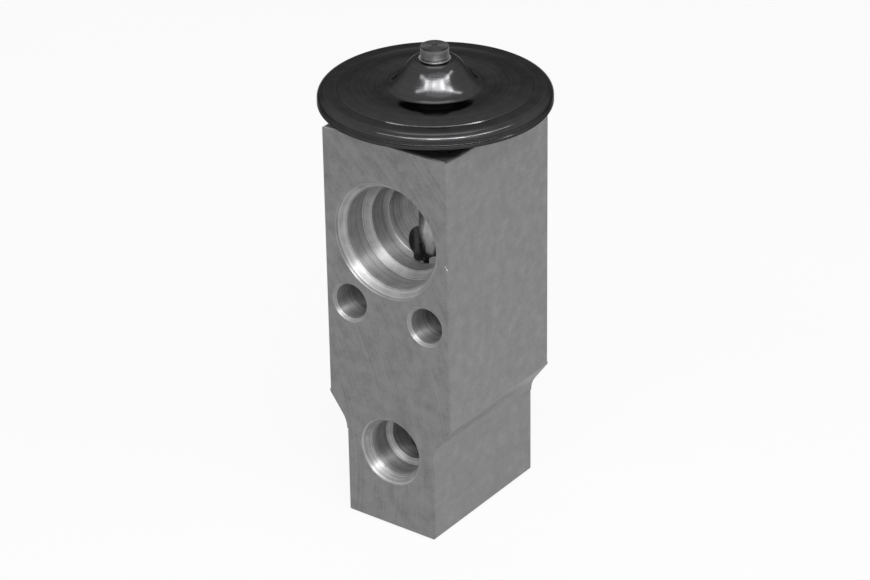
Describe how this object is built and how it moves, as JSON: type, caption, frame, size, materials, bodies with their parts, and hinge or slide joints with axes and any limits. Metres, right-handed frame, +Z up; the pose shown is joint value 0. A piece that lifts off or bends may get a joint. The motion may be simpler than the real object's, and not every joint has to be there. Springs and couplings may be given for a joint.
{
  "type": "thermostatic expansion valve",
  "caption": "Block expansion valve for vehicle air conditioning: drilled aluminium block with suction and liquid ports, and a round power head that pushes a ball valve through a rod.",
  "frame": {"origin": "centre of the block's foot", "axes": "+Z up along the rod and the power head, -Y out of the face with the liquid inlet, +X to the right of that face"},
  "size_m": [0.0432, 0.0432, 0.0935],
  "materials": {
    "block_aluminium": "milled, satin",
    "head_metal": "dark, glossy, pressed",
    "plug_steel": "turned, bright",
    "diaphragm_steel": "rolled foil",
    "seal_rubber": "moulded, matte",
    "backup_plastic": "turned",
    "spring_steel": "drawn",
    "pad_brass": "turned",
    "rod_aluminium": "turned",
    "pin_steel": "ground",
    "ball_steel": "polished",
    "cradle_steel": "turned",
    "screw_aluminium": "turned"
  },
  "bodies": {
    "block": {"valve_block": "block_aluminium", "lower_cover": "head_metal", "diaphragm": "diaphragm_steel", "upper_cover": "head_metal", "charge_plug": "plug_steel", "head_seal_ring": "seal_rubber", "rod_seal_ring": "seal_rubber", "rod_backup_ring": "backup_plastic", "rod_seal_retainer": "spring_steel"},
    "rod_train": {"diaphragm_pad": "pad_brass", "sensing_rod": "rod_aluminium", "push_pin": "pin_steel", "valve_ball": "ball_steel", "ball_cradle": "cradle_steel", "damper_spring": "spring_steel", "superheat_spring": "spring_steel"},
    "screw_seal": {"screw_seal_ring": "seal_rubber"},
    "screw": {"adjusting_screw": "screw_aluminium"}
  },
  "joints": [
    {"name": "valve_lift", "type": "slide", "parent": "block", "child": "rod_train", "axis": [0, 0, -1], "range_m": [0, 0.0006], "stiffness_N_per_m": 5000, "springref_m": -0.0005, "deforming": ["superheat_spring"]},
    {"name": "screw_advance", "type": "slide", "parent": "block", "child": "screw_seal", "axis": [0, 0, 1], "range_m": [-0.001, 0.001]},
    {"name": "screw_turn", "type": "hinge", "parent": "screw_seal", "child": "screw", "pos_m": [0, 0, 0.0012], "axis": [0, 0, 1], "range_deg": [-360, 360]}
  ],
  "couplings": [
    {"joint": "screw_turn", "follows": "screw_advance", "rad_per_m": 6283.2}
  ]
}
